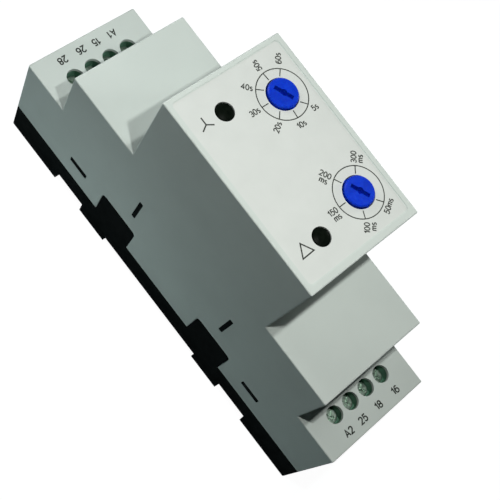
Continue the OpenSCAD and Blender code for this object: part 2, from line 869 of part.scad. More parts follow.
front_cover();
base();
rail_clip();
clip_spring();
front_label();
knob(dial_y[0]);  // knob_star
knob(dial_y[1]);  // knob_delta
pot(dial_y[0]);  // pot_star
pot(dial_y[1]);  // pot_delta
lamp(lamp_y);  // lamp_star
lamp(-lamp_y);  // lamp_delta
lamp_spacers();
main_board();
riser_board();
front_board();
timing_chip();
relay(-1);  // relay_one
relay(1);  // relay_two
smoothing_capacitor();
film_capacitor();
terminal_block();  // terminal_block_upper
lower_end() terminal_block();  // terminal_block_lower
contact_strips();  // contact_strips_upper
lower_end() contact_strips();  // contact_strips_lower
terminal_screw(0);  // screw_28
terminal_screw(1);  // screw_26
terminal_screw(2);  // screw_15
terminal_screw(3);  // screw_a1
lower_end() terminal_screw(3);  // screw_a2
lower_end() terminal_screw(2);  // screw_25
lower_end() terminal_screw(1);  // screw_18
lower_end() terminal_screw(0);  // screw_16
terminal_clamp(0);  // clamp_28
terminal_clamp(1);  // clamp_26
terminal_clamp(2);  // clamp_15
terminal_clamp(3);  // clamp_a1
lower_end() terminal_clamp(3);  // clamp_a2
lower_end() terminal_clamp(2);  // clamp_25
lower_end() terminal_clamp(1);  // clamp_18
lower_end() terminal_clamp(0);  // clamp_16
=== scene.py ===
# %% [markdown]
# # A two-dial delay timer for a mounting rail
#
# The real device is a stepped plastic housing, 30 mm wide and 110 mm long, that hangs on a 35 mm rail. Here
# it lies on its back. The solids come from the CAD model, which this script loads and never moves. Blender
# adds what a drawing office leaves to the finish shop: the moulded skins, the printed dials and numbers, the
# dull lamp lenses, the light and the camera.

import json
import math

import bpy
from mathutils import Matrix, Vector


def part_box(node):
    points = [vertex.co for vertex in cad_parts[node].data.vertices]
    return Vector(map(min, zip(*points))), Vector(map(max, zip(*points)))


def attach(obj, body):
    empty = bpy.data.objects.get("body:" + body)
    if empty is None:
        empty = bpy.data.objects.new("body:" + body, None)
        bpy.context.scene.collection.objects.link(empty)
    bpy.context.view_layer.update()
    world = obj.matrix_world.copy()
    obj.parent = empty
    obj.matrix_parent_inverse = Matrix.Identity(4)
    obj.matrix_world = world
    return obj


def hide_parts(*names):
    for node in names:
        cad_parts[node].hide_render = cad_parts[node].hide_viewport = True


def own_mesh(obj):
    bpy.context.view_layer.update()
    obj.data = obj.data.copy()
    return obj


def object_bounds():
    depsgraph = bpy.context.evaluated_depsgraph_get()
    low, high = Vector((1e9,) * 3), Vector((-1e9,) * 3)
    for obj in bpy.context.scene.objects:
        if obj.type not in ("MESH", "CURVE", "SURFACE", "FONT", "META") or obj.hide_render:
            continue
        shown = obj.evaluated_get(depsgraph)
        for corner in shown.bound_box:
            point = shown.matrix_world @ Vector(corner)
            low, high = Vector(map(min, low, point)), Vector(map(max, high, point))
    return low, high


MM = 0.001
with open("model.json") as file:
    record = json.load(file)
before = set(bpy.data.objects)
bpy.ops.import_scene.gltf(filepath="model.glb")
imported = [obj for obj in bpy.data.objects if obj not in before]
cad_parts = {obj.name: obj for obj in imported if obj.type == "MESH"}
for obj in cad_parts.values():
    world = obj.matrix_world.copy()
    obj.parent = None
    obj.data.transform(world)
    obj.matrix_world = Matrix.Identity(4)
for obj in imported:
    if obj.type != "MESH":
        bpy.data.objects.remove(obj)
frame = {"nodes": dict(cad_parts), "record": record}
cad_low, cad_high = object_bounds()

# %% [markdown]
# ## The camera
#
# The camera was fitted to some thirty corners and bores of the housing. It stands to the left of the device
# and above it, with a short telephoto lens, and it is rolled so that the housing runs from the top left to
# the bottom right. A Track To constraint could aim it, but that always keeps the horizon level. Here its
# matrix is built by hand, which keeps the roll exact. A camera looks along its own -Z axis, so the three
# columns of that matrix are right, up and backwards.

# %% Place the camera
CAMERA_PLACE = Vector((-98.5, -16.3, 229.4)) * MM
CAMERA_AIM = Vector((-1.8, -7.3, 35.0)) * MM
CAMERA_ROLL = math.radians(47.65)
CAMERA_LENS = 71.0
CAMERA_SENSOR = 36.0
CAMERA_NEAR = 0.01
CAMERA_FAR = 20.0


def rolled_view(place, aim, roll):
    """Matrix of a camera at place that looks at aim and is turned by roll about its line of sight."""
    ahead = (aim - place).normalized()
    level_right = ahead.cross(Vector((0, 0, 1))).normalized()
    level_up = level_right.cross(ahead)
    right = math.cos(roll) * level_right + math.sin(roll) * level_up
    up = math.cos(roll) * level_up - math.sin(roll) * level_right
    turn = Matrix((right, up, -ahead)).transposed()
    return Matrix.Translation(place) @ turn.to_4x4()


camera_data = bpy.data.cameras.new("camera")
camera_data.lens = CAMERA_LENS
camera_data.sensor_width = CAMERA_SENSOR
camera_data.clip_start = CAMERA_NEAR
camera_data.clip_end = CAMERA_FAR
camera = bpy.data.objects.new("camera", camera_data)
camera.matrix_world = rolled_view(CAMERA_PLACE, CAMERA_AIM, CAMERA_ROLL)
bpy.context.scene.collection.objects.link(camera)
bpy.context.scene.camera = camera
print("camera", [round(v / MM) for v in camera.location], "mm, lens", CAMERA_LENS)

# %% [markdown]
# ## The light
#
# One large softbox would be the simple way, but it throws no hard-edged shadow. The main lamp here is small
# and near. A small lamp gives the hard-edged shadow that the lower shoulder throws on the terminal step
# below it. It hangs high over the nose and a little to the left, so the nose throws almost none. Light falls
# off with the square of the distance, so one near lamp alone would leave the far side of the label dull. A
# second small one hangs higher up to even that out, and a weak one on the right does it for the right edge.
# Two soft lamps stand beyond the upper end, where the nose keeps their light off the lower steps. The left
# side has one soft lamp, weak and low down. It stands for the light that a pale table sends up, so that side
# is dark and brightest at its foot.
#
# A lamp of P watts lights a face at distance r as a white room would once P is about pi * pi * r * r.

# %% Hang the lamps
LAMPS = [
    # name, place in mm, aim in mm, size in mm, watts, tint
    ("key_lamp", (-32, -10.5, 195), (0, -5, 50), 5, 0.094, (1.0, 1.0, 0.97)),
    ("high_lamp", (-2, 0.5, 300), (0, -5, 50), 10, 0.2, (1.0, 1.0, 0.97)),
    ("right_lamp", (100, -22, 90), (10, -10, 60), 20, 0.025, (0.98, 1.0, 0.97)),
    ("end_lamp", (-14, 98, 96), (0, 42, 36), 60, 0.0262, (0.97, 1.0, 1.0)),
    ("high_end_lamp", (-30, 115, 115), (-8, 38, 40), 60, 0.0135, (0.97, 1.0, 1.0)),
    ("low_left_lamp", (-66, 30, 10), (-15, 26, 8), 44, 0.0046, (0.9, 1.0, 0.99)),
]


def hang_lamp(name, place, aim, size, power, tint):
    """A round lamp at place that shines towards aim."""
    data = bpy.data.lights.new(name, "AREA")
    data.shape = "DISK"
    data.size = size * MM
    data.energy = power
    data.color = tint
    lamp = bpy.data.objects.new(name, data)
    lamp.location = Vector(place) * MM
    lamp.rotation_mode = "QUATERNION"
    lamp.rotation_quaternion = (Vector(aim) - Vector(place)).to_track_quat("-Z", "Y")
    bpy.context.scene.collection.objects.link(lamp)


for setting in LAMPS:
    hang_lamp(*setting)

# %% [markdown]
# ## The room and the floor
#
# The background is plain white. A room that is white all round would bleach the device and turn its black
# base grey, so the whiteness is given only to rays that come straight from the camera, or through glass. All
# other rays meet a dim room, and a floor that sends back a part of the lamplight. That goes for reflections
# too: it keeps the black plastic black, and the few metal parts lie deep in wells. What the camera sees of
# the floor is a glow with a little of that true surface mixed in, so the device still stands in its own
# faint shadow.

# %% White only where it is seen
def seen_directly(tree, share):
    """Socket that is share for rays from the camera or through glass, and 0 for all others."""
    path = tree.nodes.new("ShaderNodeLightPath")
    either = tree.nodes.new("ShaderNodeMath")
    either.operation = "MAXIMUM"
    tree.links.new(path.outputs["Is Camera Ray"], either.inputs[0])
    tree.links.new(path.outputs["Is Transmission Ray"], either.inputs[1])
    part = tree.nodes.new("ShaderNodeMath")
    part.operation = "MULTIPLY"
    part.inputs[1].default_value = share
    tree.links.new(either.outputs[0], part.inputs[0])
    return part.outputs[0]


def bright_when_seen(tree, plain, bright, share, surface):
    """Sends plain into the socket surface, with a share of bright mixed in for the rays of seen_directly."""
    mix = tree.nodes.new("ShaderNodeMixShader")
    tree.links.new(seen_directly(tree, share), mix.inputs[0])
    tree.links.new(plain.outputs[0], mix.inputs[1])
    tree.links.new(bright.outputs[0], mix.inputs[2])
    tree.links.new(mix.outputs[0], surface)


print("background helpers ready")

# %% Make the room
WORLD_TONE = (0.8, 0.95, 1.0)
WORLD_LEVEL = 0.012

world = bpy.data.worlds.new("dim_room")
bpy.context.scene.world = world
world.use_nodes = True
room = world.node_tree
room_light = room.nodes["Background"]
room_light.inputs["Color"].default_value = (*WORLD_TONE, 1)
room_light.inputs["Strength"].default_value = WORLD_LEVEL
room_white = room.nodes.new("ShaderNodeBackground")
room_white.inputs["Color"].default_value = (1, 1, 1, 1)
room_white.inputs["Strength"].default_value = 1.0
bright_when_seen(room, room_light, room_white, 1.0, room.nodes["World Output"].inputs["Surface"])
print("room level", WORLD_LEVEL)

# %% Lay the floor
FLOOR_TONE = (0.44, 0.54, 0.56)
FLOOR_ROUGH = 0.9
FLOOR_SHARE = 0.8
FLOOR_GLOW = 1.22
FLOOR_HALF = 3.0
FLOOR_DROP = 0.02 * MM

floor_mesh = bpy.data.meshes.new("floor")
floor_corners = [(x * FLOOR_HALF, y * FLOOR_HALF, 0) for x, y in ((-1, -1), (1, -1), (1, 1), (-1, 1))]
floor_mesh.from_pydata(floor_corners, [], [(0, 1, 2, 3)])
floor = bpy.data.objects.new("floor", floor_mesh)
floor.location.z = -FLOOR_DROP
bpy.context.scene.collection.objects.link(floor)

floor_finish = bpy.data.materials.new("white_floor")
floor_finish.use_nodes = True
paint = floor_finish.node_tree
floor_shader = paint.nodes["Principled BSDF"]
floor_shader.inputs["Base Color"].default_value = (*FLOOR_TONE, 1)
floor_shader.inputs["Roughness"].default_value = FLOOR_ROUGH
floor_shader.inputs["Specular IOR Level"].default_value = 0.0
glow = paint.nodes.new("ShaderNodeEmission")
glow.inputs["Strength"].default_value = FLOOR_GLOW
bright_when_seen(paint, floor_shader, glow, FLOOR_SHARE, paint.nodes["Material Output"].inputs["Surface"])
floor_mesh.materials.append(floor_finish)
print("floor", 2 * FLOOR_HALF, "m wide")

# %% [markdown]
# ## Helpers for the finishes
#
# A moulded or plated surface is never one flat tone. Photographs of real samples could give that life, but
# noise in the material needs no file and stays sharp at any distance. Each finish below is built from the
# same few moves: a slow drift between two close tones, a roughness that wanders a little, and a fine grain
# that tilts the surface. The noise reads Object coordinates, and every CAD node has its object at the
# origin, so one grain size in millimetres holds over the whole device.

# %% Noise that stays on the piece
def start_finish(name):
    """A new material: the material, its tree and its shader."""
    finish = bpy.data.materials.new(name)
    finish.use_nodes = True
    return finish, finish.node_tree, finish.node_tree.nodes["Principled BSDF"]


def speckle(tree, size, detail=2.0, stretch=(1, 1, 1)):
    """Noise with blotches about size across, in metres, that stays put on the piece."""
    place = tree.nodes.new("ShaderNodeTexCoord")
    scale = tree.nodes.new("ShaderNodeMapping")
    scale.inputs["Scale"].default_value = stretch
    noise = tree.nodes.new("ShaderNodeTexNoise")
    noise.inputs["Scale"].default_value = 1 / size
    noise.inputs["Detail"].default_value = detail
    tree.links.new(place.outputs["Object"], scale.inputs["Vector"])
    tree.links.new(scale.outputs["Vector"], noise.inputs["Vector"])
    return noise.outputs["Fac"]


def spread(tree, value, low, high, start=0.3, end=0.7):
    """Stretches a noise from its usual span, start to end, to low and high."""
    span = tree.nodes.new("ShaderNodeMapRange")
    span.inputs["From Min"].default_value = start
    span.inputs["From Max"].default_value = end
    span.inputs["To Min"].default_value = low
    span.inputs["To Max"].default_value = high
    tree.links.new(value, span.inputs["Value"])
    return span.outputs["Result"]


print("noise helpers ready")

# %% Tone and roughness
def between(tree, share, dark, light):
    """Colour that runs from dark to light with share. Each is a colour or a socket."""
    mix = tree.nodes.new("ShaderNodeMix")
    mix.data_type = "RGBA"
    tree.links.new(share, mix.inputs[0])
    for socket, tone in ((mix.inputs[6], dark), (mix.inputs[7], light)):
        if isinstance(tone, tuple):
            socket.default_value = (*tone, 1)
        else:
            tree.links.new(tone, socket)
    return mix.outputs[2]


def drifting(tree, size, detail, dark, light):
    """Colour that drifts between dark and light in blotches of the given size."""
    return between(tree, spread(tree, speckle(tree, size, detail), 0.0, 1.0), dark, light)


def wandering(tree, shader, size, detail, low, high):
    """Lets the shader's roughness wander between low and high in blotches of the given size."""
    rough = spread(tree, speckle(tree, size, detail), low, high)
    tree.links.new(rough, shader.inputs["Roughness"])


print("tone helpers ready")

# %% Relief and painted edge highlights
def grain(tree, shader, height, depth):
    """Tilts the surface with a fine relief, depth in metres."""
    relief = tree.nodes.new("ShaderNodeBump")
    relief.inputs["Strength"].default_value = 1.0
    relief.inputs["Distance"].default_value = depth
    tree.links.new(height, relief.inputs["Height"])
    tree.links.new(relief.outputs["Normal"], shader.inputs["Normal"])


def edge_highlight_share(tree, radius, gain):
    """Socket that rises from 0 on flat faces to 1 on edges rounded by radius, where a highlight is painted
    on.
    """
    soft = tree.nodes.new("ShaderNodeBevel")
    soft.samples = 4
    soft.inputs["Radius"].default_value = radius
    true = tree.nodes.new("ShaderNodeNewGeometry")
    dot = tree.nodes.new("ShaderNodeVectorMath")
    dot.operation = "DOT_PRODUCT"
    tree.links.new(soft.outputs["Normal"], dot.inputs[0])
    tree.links.new(true.outputs["Normal"], dot.inputs[1])
    return spread(tree, dot.outputs["Value"], 1.0, 0.0, 1.0 - 1.0 / gain, 1.0)


print("relief helpers ready")

# %% Two recipes
DRIFT_SIZE = 14 * MM
WANDER_SIZE = 2.5 * MM
ROUGH_SWING = 0.05
HIGHLIGHT_RADIUS = 0.35 * MM
HIGHLIGHT_GAIN = 6.0
STREAK_SIZE = 0.6 * MM
STREAK_SWING = 0.08
PLATING_GRAIN = 0.15 * MM
PLATING_DEPTH = 0.004 * MM


def moulded(name, dark, light, rough, grain_size, grain_depth, specular=0.5, edge=None):
    """Moulded plastic: two close tones, a wandering roughness, a spark-eroded grain and a painted highlight
    on the edges.
    """
    finish, tree, shader = start_finish(name)
    tone = drifting(tree, DRIFT_SIZE, 3.0, dark, light)
    # The edge tone is a painted highlight: a paler colour on the rounded edges, where they would catch the
    # light.
    if edge:
        tone = between(tree, edge_highlight_share(tree, HIGHLIGHT_RADIUS, HIGHLIGHT_GAIN), tone, edge)
    tree.links.new(tone, shader.inputs["Base Color"])
    wandering(tree, shader, WANDER_SIZE, 3.0, rough - ROUGH_SWING, rough + ROUGH_SWING)
    grain(tree, shader, speckle(tree, grain_size, 1.0), grain_depth)
    shader.inputs["Specular IOR Level"].default_value = specular
    return finish


def plated(name, dark, light, rough, stretch=(1, 1, 1)):
    """Plated metal: two tones of the plating, with drawn streaks along one axis."""
    finish, tree, shader = start_finish(name)
    shader.inputs["Metallic"].default_value = 1.0
    streaks = speckle(tree, STREAK_SIZE, 3.0, stretch)
    tone = between(tree, spread(tree, streaks, 0.0, 1.0), dark, light)
    tree.links.new(tone, shader.inputs["Base Color"])
    dull = spread(tree, streaks, rough - STREAK_SWING, rough + STREAK_SWING)
    tree.links.new(dull, shader.inputs["Roughness"])
    grain(tree, shader, speckle(tree, PLATING_GRAIN, 1.0, stretch), PLATING_DEPTH)
    return finish


print("recipes: moulded, plated")

# %% [markdown]
# ## The plastics of the housing
#
# The cover is a pale green-grey moulding with a fine spark-eroded grain. The base is the same grain in
# black. A black plastic with a strong highlight would look grey under the lamps, so its specular level is
# low, as it is on a textured mould. The terminal blocks are green, and they show only as a tint down in the
# driver wells. One recipe makes them all, so that they read as mouldings from the same shop.

# %% Plastics
# Each edge tone below is a painted highlight on the rounded edges.
finishes = {
    "cover_plastic": moulded(
        "cover_plastic", dark=(0.562, 0.620, 0.588), light=(0.594, 0.654, 0.620), rough=0.55,
        grain_size=0.32 * MM, grain_depth=0.006 * MM, specular=0.16, edge=(0.592, 0.648, 0.618)),
    "base_plastic": moulded(
        "base_plastic", dark=(0.0016, 0.0024, 0.0025), light=(0.003, 0.0042, 0.0044), rough=0.5,
        grain_size=0.3 * MM, grain_depth=0.007 * MM, specular=0.01, edge=(0.006, 0.008, 0.008)),
    "terminal_plastic": moulded(
        "terminal_plastic", dark=(0.15, 0.32, 0.22), light=(0.19, 0.39, 0.28), rough=0.5,
        grain_size=0.4 * MM, grain_depth=0.004 * MM, specular=0.2),
    "pot_plastic": moulded(
        "pot_plastic", dark=(0.04, 0.09, 0.32), light=(0.06, 0.12, 0.38), rough=0.42,
        grain_size=0.3 * MM, grain_depth=0.004 * MM),
    "dark_plastic": moulded(
        "dark_plastic", dark=(0.016, 0.017, 0.018), light=(0.026, 0.027, 0.028), rough=0.5,
        grain_size=0.3 * MM, grain_depth=0.005 * MM, specular=0.3, edge=(0.05, 0.05, 0.052)),
}
print("plastics:", sorted(finishes))

# %% [markdown]
# ## The label film
#
# The label is a matt printed film, slightly paler than the cover. It has no moulded grain, so it gets a
# finish of its own: a faint fibre, a skin a little finer than the cover's, and a paler tone along its edge
# that is a painted highlight.

# %% Label finish
def label_film():
    """Matt film with a faint fibre and a painted highlight along its edge."""
    finish, tree, shader = start_finish("label_film")
    face = drifting(
        tree, size=5 * MM, detail=4.0, dark=(0.622, 0.655, 0.630), light=(0.650, 0.683, 0.658))
    # A paler tone painted along the edge stands for the highlight that the edge catches.
    label_edge_highlight = edge_highlight_share(tree, radius=0.2 * MM, gain=5.0)
    tree.links.new(between(tree, label_edge_highlight, face, (0.72, 0.75, 0.725)), shader.inputs["Base Color"])
    wandering(tree, shader, size=1.5 * MM, detail=2.0, low=0.5, high=0.6)
    grain(tree, shader, speckle(tree, size=0.22 * MM, detail=1.0), depth=0.003 * MM)
    shader.inputs["Specular IOR Level"].default_value = 0.16
    return finish


finishes["label_film"] = label_film()
print("label finish made")

# %% [markdown]
# ## The knobs and the lamp lenses
#
# The two knobs are a saturated blue moulding with a satin face. The plastic lets a little light through,
# which keeps their driver slots from going black, so the shader has some subsurface light. Turning marks run
# round the knob's axis, so the grain is stretched along Z and stays fine across the face. The lamp lenses are
# smoked plastic: nearly black, with a skin too dull to carry a clear highlight.

# %% Knob and lens finishes
def knob_plastic():
    """Blue satin plastic that lets a little light through."""
    finish, tree, shader = start_finish("knob_plastic")
    tone = drifting(tree, size=2.2 * MM, detail=3.0, dark=(0.002, 0.032, 0.50), light=(0.003, 0.045, 0.64))
    tree.links.new(tone, shader.inputs["Base Color"])
    wandering(tree, shader, size=0.8 * MM, detail=2.0, low=0.34, high=0.46)
    turning_marks = speckle(tree, size=0.18 * MM, detail=1.0, stretch=(1, 1, 0.2))
    grain(tree, shader, turning_marks, depth=0.004 * MM)
    shader.inputs["Specular IOR Level"].default_value = 0.2
    shader.inputs["Subsurface Weight"].default_value = 0.4
    shader.inputs["Subsurface Radius"].default_value = (0.3, 0.5, 1.0)
    shader.inputs["Subsurface Scale"].default_value = 0.9 * MM
    return finish


def lamp_lens():
    """Smoked plastic, nearly black and dull."""
    finish, tree, shader = start_finish("lamp_lens")
    tone = drifting(
        tree, size=0.7 * MM, detail=2.0, dark=(0.002, 0.0036, 0.0024), light=(0.005, 0.0075, 0.005))
    tree.links.new(tone, shader.inputs["Base Color"])
    wandering(tree, shader, size=1.2 * MM, detail=2.0, low=0.3, high=0.4)
    shader.inputs["Specular IOR Level"].default_value = 0.02
    return finish


finishes["knob_plastic"] = knob_plastic()
finishes["lamp_lens"] = lamp_lens()
print("knob and lens finishes made")

# %% [markdown]
# ## Metals and electronics
#
# The screws are zinc plated and the clamp cages nickel plated, with streaks in the direction of their
# making. The screws' dull green-grey tone is painted: it is a painted reflection of the green plastic round
# them and painted shade of the wells they lie in. The boards are fibre laminate under a green varnish, where
# copper tracks show as paler lines. A brick pattern stands in for the tracks, because it gives long runs with
# gaps and needs no drawing. The rest of the parts on the boards are a sleeve, a cast resin and black
# mouldings.

# %% Metal finishes
# The screw tones are a painted reflection of the green well walls and painted shade of the wells.
finishes["screw_steel"] = plated("screw_steel", (0.26, 0.36, 0.29), (0.48, 0.60, 0.52), 0.38)
finishes["clamp_metal"] = plated("clamp_metal", (0.56, 0.56, 0.53), (0.7, 0.7, 0.66), 0.3, (1, 1, 0.1))
finishes["contact_metal"] = plated("contact_metal", (0.62, 0.58, 0.47), (0.78, 0.75, 0.66), 0.28, (1, 0.1, 1))
finishes["spring_steel"] = plated("spring_steel", (0.42, 0.42, 0.42), (0.62, 0.62, 0.62), 0.25)
print("metals made")

# %% Board and component finishes
TRACK_UNIT = 5 * MM


def board_laminate():
    """Green varnished laminate with paler tracks that stand a little proud."""
    finish, tree, shader = start_finish("board_laminate")
    place = tree.nodes.new("ShaderNodeTexCoord")
    tracks = tree.nodes.new("ShaderNodeTexBrick")
    tracks.inputs["Color1"].default_value = (0.012, 0.12, 0.05, 1)
    tracks.inputs["Color2"].default_value = (0.016, 0.14, 0.06, 1)
    tracks.inputs["Mortar"].default_value = (0.05, 0.26, 0.12, 1)
    tracks.inputs["Scale"].default_value = 1 / TRACK_UNIT
    tracks.inputs["Mortar Size"].default_value = 0.05
    tracks.inputs["Brick Width"].default_value = 1.6
    tracks.inputs["Row Height"].default_value = 0.5
    tree.links.new(place.outputs["Object"], tracks.inputs["Vector"])
    tree.links.new(tracks.outputs["Color"], shader.inputs["Base Color"])
    wandering(tree, shader, size=0.8 * MM, detail=2.0, low=0.28, high=0.4)
    grain(tree, shader, tracks.outputs["Fac"], depth=0.03 * MM)
    return finish


finishes["board_laminate"] = board_laminate()
finishes["can_sleeve"] = moulded(
    "can_sleeve", dark=(0.02, 0.028, 0.09), light=(0.03, 0.04, 0.13), rough=0.3,
    grain_size=1.2 * MM, grain_depth=0.006 * MM)
finishes["film_resin"] = moulded(
    "film_resin", dark=(0.5, 0.33, 0.05), light=(0.62, 0.43, 0.09), rough=0.28,
    grain_size=0.9 * MM, grain_depth=0.02 * MM)
print("finishes:", len(finishes))

# %% [markdown]
# ## Dress the CAD nodes
#
# The record says which material slot each node takes, so one loop dresses them all and no node is missed.
# The mesh stays as it is: only the material in its slot changes.

# %% Assign the finishes
for part in frame["record"]["subparts"]:
    node = frame["nodes"][part["node"]]
    finish = finishes[part["material_slot"]]
    if node.material_slots:
        for place in node.material_slots:
            place.material = finish
    else:
        node.data.materials.append(finish)

# %% [markdown]
# ## Printing ink
#
# The dial scales and the terminal numbers are screen printed. A printed line is a real layer of ink, so each
# mark here is a closed solid a few hundredths of a millimetre thick that lies on the surface. A texture could
# draw the same marks, but solids stay sharp at any distance.

# %% Ink finish
def printing_ink():
    """Matt dark ink whose cover is a little uneven."""
    finish, tree, shader = start_finish("printing_ink")
    tone = drifting(
        tree, size=0.35 * MM, detail=3.0, dark=(0.022, 0.026, 0.022), light=(0.055, 0.062, 0.054))
    tree.links.new(tone, shader.inputs["Base Color"])
    wandering(tree, shader, size=1 * MM, detail=2.0, low=0.5, high=0.62)
    shader.inputs["Specular IOR Level"].default_value = 0.15
    return finish


ink = printing_ink()
print("ink made")

# %% [markdown]
# ## Strokes
#
# Every mark is one and the same thing, a stroke: a path swept by a pen of a given width, with mitred corners.
# A ring is a closed stroke. Blender's text and curve objects could draw the marks too, but strokes give the
# figures the same pen as the lines beside them, and their mesh is known point by point.

# %% Make a piece from points and faces
def make_piece(name, points, faces, finish):
    """A mesh piece in one finish, fixed to the housing."""
    mesh = bpy.data.meshes.new(name)
    mesh.from_pydata(points, [], faces)
    mesh.materials.append(finish)
    piece = bpy.data.objects.new(name, mesh)
    bpy.context.scene.collection.objects.link(piece)
    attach(piece, "housing")
    print(name, "faces", len(mesh.polygons))
    return piece


def arc(x, y, rx, ry, start, end, steps=12):
    """Points along an oval arc between two angles in degrees."""
    angles = [math.radians(start + (end - start) * k / steps) for k in range(steps + 1)]
    return [(x + rx * math.cos(a), y + ry * math.sin(a)) for a in angles]


print("piece and arc helpers ready")

# %% Sweep a pen along a path
MITRE_LIMIT = 0.45
RING_STEPS = 96


class Strokes:
    """Closed flat strokes between two heights, gathered into one mesh."""

    def __init__(self, low, high):
        self.low = low
        self.high = high
        self.points = []
        self.faces = []

    def stroke(self, path, width, closed=False):
        """Sweeps a path of (x, y) points. Each gives four corners: right and left of it, low and high."""
        path = [Vector(q) for q in path]
        n = len(path)
        first = len(self.points)
        for i, here in enumerate(path):
            ways = []
            if closed or i > 0:
                ways.append((here - path[i - 1]).normalized())
            if closed or i < n - 1:
                ways.append((path[(i + 1) % n] - here).normalized())
            mean = sum(ways, Vector((0, 0))).normalized()
            left = Vector((-mean.y, mean.x))
            reach = width / 2 / max(MITRE_LIMIT, left.dot(Vector((-ways[0].y, ways[0].x))))
            for corner in (here - left * reach, here + left * reach):
                self.points += [(corner.x, corner.y, self.low), (corner.x, corner.y, self.high)]
        for i in range(n if closed else n - 1):
            a, b = first + 4 * i, first + 4 * ((i + 1) % n)
            self.faces += [[a + 1, b + 1, b + 3, a + 3], [a, a + 2, b + 2, b],
                           [a, b, b + 1, a + 1], [b + 2, a + 2, a + 3, b + 3]]
        if not closed:
            end = first + 4 * (n - 1)
            self.faces += [[first + 2, first, first + 1, first + 3], [end, end + 2, end + 3, end + 1]]

    def ring(self, middle, radius, width):
        """A round line."""
        self.stroke(arc(middle[0], middle[1], radius, radius, 0, 360, RING_STEPS)[:-1], width, closed=True)


print("strokes ready")

# %% Lay strokes down as ink
INK_THICKNESS = 0.02 * MM
INK_LIFT = 0.004 * MM
LINE_WIDTH = 0.21 * MM


def start_print(surface_z):
    """Strokes of ink that lie on a level surface."""
    low = surface_z + INK_LIFT
    return Strokes(low, low + INK_THICKNESS)


def finish_print(name, marks):
    """Makes the printed piece."""
    make_piece(name, marks.points, marks.faces, ink)


print("ink is", round(INK_THICKNESS / MM, 3), "mm thick")

# %% [markdown]
# ## A stroke alphabet
#
# The numbers are plain engraver's figures, and each is a few pen strokes. A font would bring a maker's shapes
# with it, and these few figures are quick to draw. The grid below is one capital high, so a height in
# millimetres scales a whole word. Each entry holds the width of the figure and its strokes, with a mark for
# those that close on themselves.

# %% Draw the figures
GLYPHS = {
    "0": (0.56, [(arc(0.28, 0.5, 0.28, 0.5, 0, 360, 28)[:-1], True)]),
    "1": (0.34, [([(0.02, 0.74), (0.3, 1), (0.3, 0)], False)]),
    "2": (0.56, [(arc(0.28, 0.72, 0.27, 0.28, 170, -38) + [(0.02, 0), (0.57, 0)], False)]),
    "3": (0.56, [(arc(0.27, 0.745, 0.24, 0.255, 155, -90) + arc(0.27, 0.25, 0.28, 0.25, 82, -155), False)]),
    "4": (0.6, [([(0.45, 0), (0.45, 1), (0, 0.3), (0.6, 0.3)], False)]),
    "5": (0.56, [([(0.53, 1), (0.12, 1), (0.06, 0.52)] + arc(0.27, 0.33, 0.29, 0.33, 118, -152), False)]),
    "6": (0.58, [(arc(0.32, 0.5, 0.31, 0.5, 52, 180) + [(0.01, 0.32)], False),
                 (arc(0.29, 0.31, 0.28, 0.31, 0, 360, 24)[:-1], True)]),
    "8": (0.56, [(arc(0.28, 0.75, 0.23, 0.25, 0, 360, 24)[:-1], True),
                 (arc(0.28, 0.26, 0.28, 0.26, 0, 360, 24)[:-1], True)]),
    "A": (0.66, [([(0, 0), (0.33, 1), (0.66, 0)], False), ([(0.12, 0.34), (0.54, 0.34)], False)]),
    "s": (0.42, [(arc(0.21, 0.54, 0.18, 0.17, 35, 262) + arc(0.21, 0.185, 0.2, 0.185, 82, -145), False)]),
    "m": (0.76, [([(0, 0), (0, 0.71)], False),
                 ([(0, 0.44)] + arc(0.19, 0.5, 0.19, 0.21, 180, 0) + [(0.38, 0)], False),
                 ([(0.38, 0.44)] + arc(0.57, 0.5, 0.19, 0.21, 180, 0) + [(0.76, 0)], False)]),
}
print("figures:", "".join(sorted(GLYPHS)))

# %% Set a word
LETTER_GAP = 0.22


def write_word(marks, text, middle, direction, height, width):
    """Adds a word centred on middle that runs along direction, in degrees from +X."""
    paths, cursor = [], 0.0
    for letter in text:
        glyph_width, strokes = GLYPHS[letter]
        paths += [([(cursor + x, y) for x, y in path], closed) for path, closed in strokes]
        cursor += glyph_width + LETTER_GAP
    corners = [q for path, _ in paths for q in path]
    centre = Vector([(min(q[k] for q in corners) + max(q[k] for q in corners)) / 2 for k in (0, 1)])
    turn = Matrix.Rotation(math.radians(direction), 2)
    for path, closed in paths:
        placed = [turn @ ((Vector(q) - centre) * height) + Vector(middle) for q in path]
        marks.stroke(placed, width, closed)


print("gap between figures:", LETTER_GAP, "of a capital")

# %% [markdown]
# ## The dials on the label
#
# Each dial is a ring with a tick at each time step. The ticks run inwards to the knob. On the real label
# they don't all point to the same middle, so each has an angle for its outer end and one for its inner end.
# The times stand outside the ring, each turned to read along its own radius. The upper dial runs from 5 to
# 60 seconds, the lower one from 50 to 300 milliseconds. One function prints both, from two short tables.

# %% How a dial is printed
LABEL_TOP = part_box("front_label")[1].z
DIAL_X = 6.95 * MM
RING_RADIUS = 5.5 * MM
TICK_INNER = 3.8 * MM
DIAL_FIGURE = 1.12 * MM
DIAL_PEN = 0.215 * MM


def around(middle, reach, angle):
    """Point at reach from middle, at an angle in degrees."""
    return Vector(middle) + reach * Vector((math.cos(math.radians(angle)), math.sin(math.radians(angle))))


def print_dial(name, middle, ticks, times):
    """Ring, ticks as (outer angle, inner angle), and times as (text, x, y, direction) in mm and degrees."""
    marks = start_print(LABEL_TOP)
    marks.ring(middle, RING_RADIUS, LINE_WIDTH)
    for outer, inner in ticks:
        marks.stroke([around(middle, TICK_INNER, inner), around(middle, RING_RADIUS, outer)], LINE_WIDTH)
    for text, x, y, direction in times:
        write_word(marks, text, Vector((x, y)) * MM, direction, DIAL_FIGURE, DIAL_PEN)
    finish_print(name, marks)


print("label top at", round(LABEL_TOP / MM, 2), "mm")

